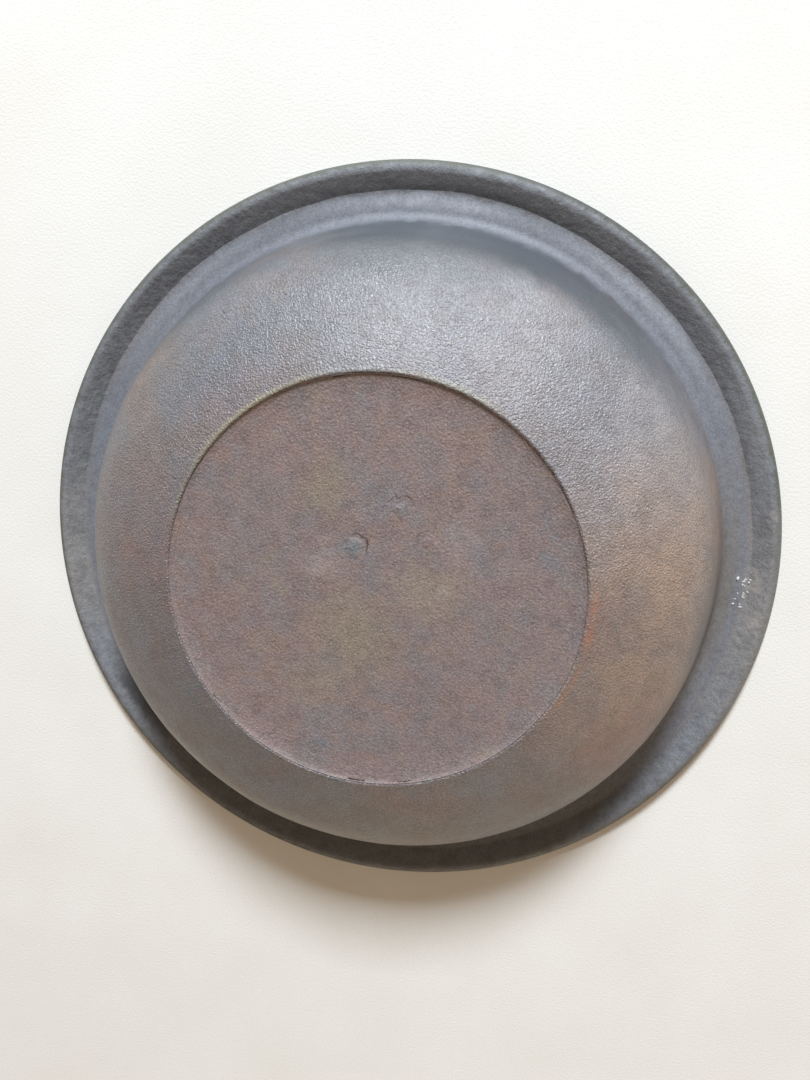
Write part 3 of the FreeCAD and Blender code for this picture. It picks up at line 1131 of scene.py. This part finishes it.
    def rivet_set(self, finish: Material) -> Piece:
        """Make one rivet, set it at each place, and stand the set in for its CAD node."""
        low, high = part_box("patch_rivets")
        places = self.rivet_places()
        tail_radius = high.x - places[-1].x
        plate, patch = self.sizes.plate_top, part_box("inner_patch")[0].z
        rise, drop = high.z - plate, patch - low.z
        made = Section()
        steps, flatness = 10, 2.4
        for i in range(steps):
            t = i / steps
            height = plate - self.tail_feather + (rise + self.tail_feather) * (1 - t**flatness)
            made.points.append((tail_radius * t, height, Skin.PEEL.value))
        made.points.append((tail_radius, plate - self.tail_feather, Skin.HIDDEN.value))
        shank_top = plate - 2 * self.tail_feather
        made.line((self.shank_radius, shank_top), (self.shank_radius, patch), MM)
        for i in range(steps + 1):
            angle = math.pi / 2 * i / steps
            made.points.append((self.head_radius * math.cos(angle), patch - drop * math.sin(angle), 0.0))
        rivet = made.turned("rivet_pattern", 48, False)
        tips = bpy.data.meshes.new("rivet_places")
        tips.from_pydata([(p.x, p.y, -sink) for p, sink in zip(places, self.sinks)], [], [])
        rivets = linked("rivets", tips)
        grown(rivets, self.rivets, {"Rivet": rivet, "Turn": 2 * math.pi, "Seed": 3, "Finish": finish})
        bpy.data.objects.remove(rivet)
        self.rivet_skin.lay(rivets, self.relief, finish)
        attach(rivets, "root")
        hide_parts("patch_rivets")
        return rivets


@dataclass
class LimeSpecks:
    """A few specks of dried lime water on the flange and the lip, close to the seam."""

    sizes: PanSizes
    tree: Tree
    middle: float = math.radians(-5.5)
    half_width: float = math.radians(3.6)
    inner: float = 3.4 * MM
    outer: float = 1.4 * MM
    climb: float = 0.62 * MM

    def build(self, finish: Material) -> Piece:
        """Strew the specks over a strip that follows flange and lip.

        Args:
            finish: The specks' material.

        Returns:
            The specks.
        """
        s = self.sizes
        rows = (
            (s.seam_lower[0] - self.inner, s.sheet),
            (s.seam_lower[0], s.sheet),
            (s.seam_lower[0] + self.outer, s.sheet + self.climb),
        )
        columns = 12
        verts, faces = [], []
        for i in range(columns + 1):
            angle = self.middle + self.half_width * (2 * i / columns - 1)
            verts += [(radius * math.cos(angle), radius * math.sin(angle), height) for radius, height in rows]
        for i in range(columns):
            for j in range(len(rows) - 1):
                a, b = i * len(rows) + j, (i + 1) * len(rows) + j
                faces.append((a, a + 1, b + 1, b))
        mesh = bpy.data.meshes.new("lime_specks")
        mesh.from_pydata(verts, [], faces)
        specks = linked("lime_specks", mesh)
        grown(specks, self.tree, {
            "Density": 260000.0, "Smallest": 0.18 * MM, "Largest": 0.85 * MM, "Seed": 8, "Finish": finish,
        })
        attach(specks, "root")
        return specks


# ---------------------------------------------------------------- floor, light and camera


@dataclass(frozen=True)
class SoftLight:
    """A rectangular light that faces the pan.

    Attributes:
        name: The light's name.
        turn: Its bearing from X, in degrees.
        height: Its height above the floor's plane as seen from the pan, in degrees.
        away: Its distance in metres.
        size: Its width and height in metres.
        power: Its power in watts.
        colour: Its colour as hex.
    """

    name: str
    turn: float
    height: float
    away: float
    size: Point
    power: float
    colour: str

    def place(self) -> None:
        """Make the light and set it in place."""
        data = bpy.data.lights.new(self.name, "AREA")
        data.shape = "RECTANGLE"
        data.size, data.size_y = self.size
        data.energy = self.power
        data.color = linear(self.colour)[:3]
        turn, height = math.radians(self.turn), math.radians(self.height)
        flat = math.cos(height)
        towards = Vector((flat * math.cos(turn), flat * math.sin(turn), math.sin(height)))
        light = linked(self.name, data)
        light.location = towards * self.away
        light.rotation_euler = towards.to_track_quat("Z", "Y").to_euler()
        light.visible_camera = False


@dataclass
class Studio:
    """The floor, the soft light of a window and a pale room, and the camera."""

    floor_side: float = 16.0
    eye: Vector = field(default_factory=lambda: Vector((44.56, 68.20, 279.0)) * MM)
    aim: Vector = field(default_factory=lambda: Vector((2.14, 2.96, 3.3)) * MM)
    lens: float = 29.0
    window: SoftLight = SoftLight("window", 84.0, 33.5, 2.0, (0.42, 0.42), 62.0, "#eef7ff")
    bounce: SoftLight = SoftLight("bounce", 285.0, 18.0, 1.2, (1.2, 0.5), 3.0, "#ffe8cf")
    room_colour: str = "#ffe2c0"
    backdrop_colour: str = "#e6e4df"
    room_strength: float = 0.26

    def lay_floor(self, finish: Material) -> Piece:
        """Lay the floor under the pan."""
        half = self.floor_side / 2
        mesh = bpy.data.meshes.new("floor")
        mesh.from_pydata([(-half, -half, 0), (half, -half, 0), (half, half, 0), (-half, half, 0)], [], [(0, 1, 2, 3)])
        mesh.materials.append(finish)
        floor = linked("floor", mesh)
        return floor

    def light(self) -> None:
        """Set the window light, its bounce off the room's walls and the light of the room."""
        self.window.place()
        self.bounce.place()
        room = bpy.data.worlds.new("room")
        room.use_nodes = True
        tree = room.node_tree
        background = tree.nodes["Background"]
        background.inputs["Color"].default_value = linear(self.room_colour)
        background.inputs["Strength"].default_value = self.room_strength
        backdrop = add_node(tree, "ShaderNodeBackground", {"Color": linear(self.backdrop_colour)})
        seen = add_node(tree, "ShaderNodeLightPath").outputs["Is Camera Ray"]
        links: Links = {0: seen, 1: background.outputs[0], 2: backdrop.outputs[0]}
        mixed = add_node(tree, "ShaderNodeMixShader", None, links)
        tree.links.new(mixed.outputs[0], tree.nodes["World Output"].inputs["Surface"])
        bpy.context.scene.world = room
        bpy.context.scene.view_settings.view_transform = "Standard"

    def camera(self) -> None:
        """Set the camera, upright along +Y."""
        data = bpy.data.cameras.new("camera")
        data.lens = self.lens
        data.sensor_width = 36.0
        data.clip_start = 0.01
        forward = (self.aim - self.eye).normalized()
        right = forward.cross(Vector((0, 1, 0))).normalized()
        up = right.cross(forward)
        camera = linked("camera", data)
        camera.matrix_world = Matrix.Translation(self.eye) @ Matrix((right, up, -forward)).transposed().to_4x4()
        bpy.context.scene.camera = camera


def main() -> None:
    """Build the pan, the floor, the light and the camera."""
    logging.basicConfig(level=logging.INFO, format="%(name)s: %(message)s")
    sizes = PanSizes()
    relief = relief_tree()
    rust = RustedIron()
    plate_iron = rust.material("rusted_plate_iron")
    base = Base(sizes, relief, rivet_tree())
    pieces = [
        Bowl(sizes, relief).build(ScaledSheetIron().material()),
        RimWire(sizes, relief).build(DrawnWire().material()),
        base.plate(plate_iron),
        base.braze(rust.material("rusted_braze", 0.25)),
        base.patch(plate_iron),
        base.rivet_set(rust.material("rusted_rivet_iron")),
        LimeSpecks(sizes, speck_tree()).build(LimeSpeck().material()),
    ]
    for piece in pieces:
        triangles = sum(len(p.vertices) - 2 for p in piece.data.polygons)
        log.info("%s: %d triangles", piece.name, triangles)
    studio = Studio()
    studio.lay_floor(PaleFloor().material())
    studio.light()
    studio.camera()


if __name__ == "__main__":
    main()
